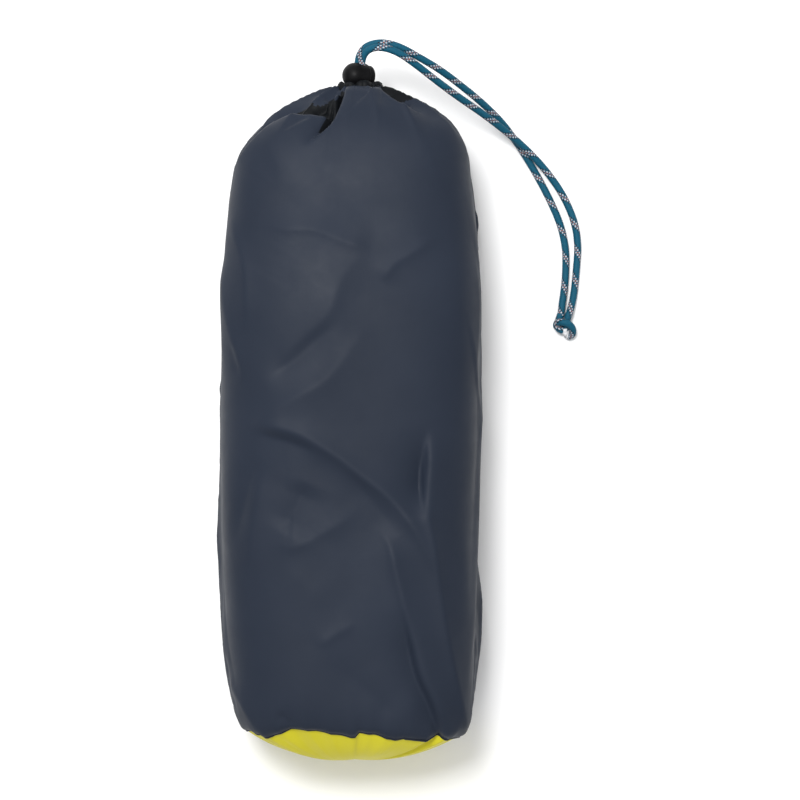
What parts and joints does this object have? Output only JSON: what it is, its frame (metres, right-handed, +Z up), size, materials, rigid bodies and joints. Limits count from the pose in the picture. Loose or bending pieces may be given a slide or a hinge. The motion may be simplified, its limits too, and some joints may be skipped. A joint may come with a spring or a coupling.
{
  "type": "drawstring stuff sack",
  "caption": "Packed drawstring stuff sack with a domed round base, a gathered mouth, a spring cord lock and a knotted doubled cord.",
  "frame": {"origin": "on the floor, at the middle of the box of the sack and its cord lock, without the free cord", "axes": "+Y along the sack from its base to its mouth, +Z up from the floor it lies on, +X to the side the free cord falls on"},
  "size_m": [0.1926, 0.3794, 0.0942],
  "materials": {
    "sack_fabric": "coated dark slate nylon, soft satin sheen",
    "base_fabric": "coated yellow-green nylon, soft satin sheen",
    "binding": "dark woven binding tape",
    "contents": "folded fabric load, never seen",
    "hem_fabric": "gathered dark nylon hem",
    "eyelet": "black moulded eyelet",
    "cord": "braided teal blue cord with white, black and red tracer",
    "cord_core": "frayed white cord core",
    "lock_plastic": "black moulded plastic, satin",
    "spring_steel": "drawn wire"
  },
  "bodies": {
    "sack": {"sack_body": "sack_fabric", "side_seam": "sack_fabric", "base_panel": "base_fabric", "base_seam": "binding", "packed_contents": "contents", "hem_channel": "hem_fabric", "mouth_eyelet": "eyelet", "drawcord_neck_loop": "cord", "drawcord_strand_left": "cord", "drawcord_strand_right": "cord", "tail_knot": "cord", "cord_end_left": "cord_core", "cord_end_right": "cord_core"},
    "cord_lock": {"lock_housing": "lock_plastic", "lock_spring": "spring_steel"},
    "lock_button": {"lock_plunger": "lock_plastic"}
  },
  "joints": [
    {"name": "lock_slide", "type": "slide", "parent": "sack", "child": "cord_lock", "axis": [0, 1, 0], "range_m": [0, 0.0015]},
    {"name": "button_press", "type": "slide", "parent": "cord_lock", "child": "lock_button", "axis": [-0.866, 0, 0.5], "range_m": [0, 0.002], "stiffness_N_per_m": 600, "springref_m": -0.0015, "deforming": ["lock_spring"]}
  ]
}
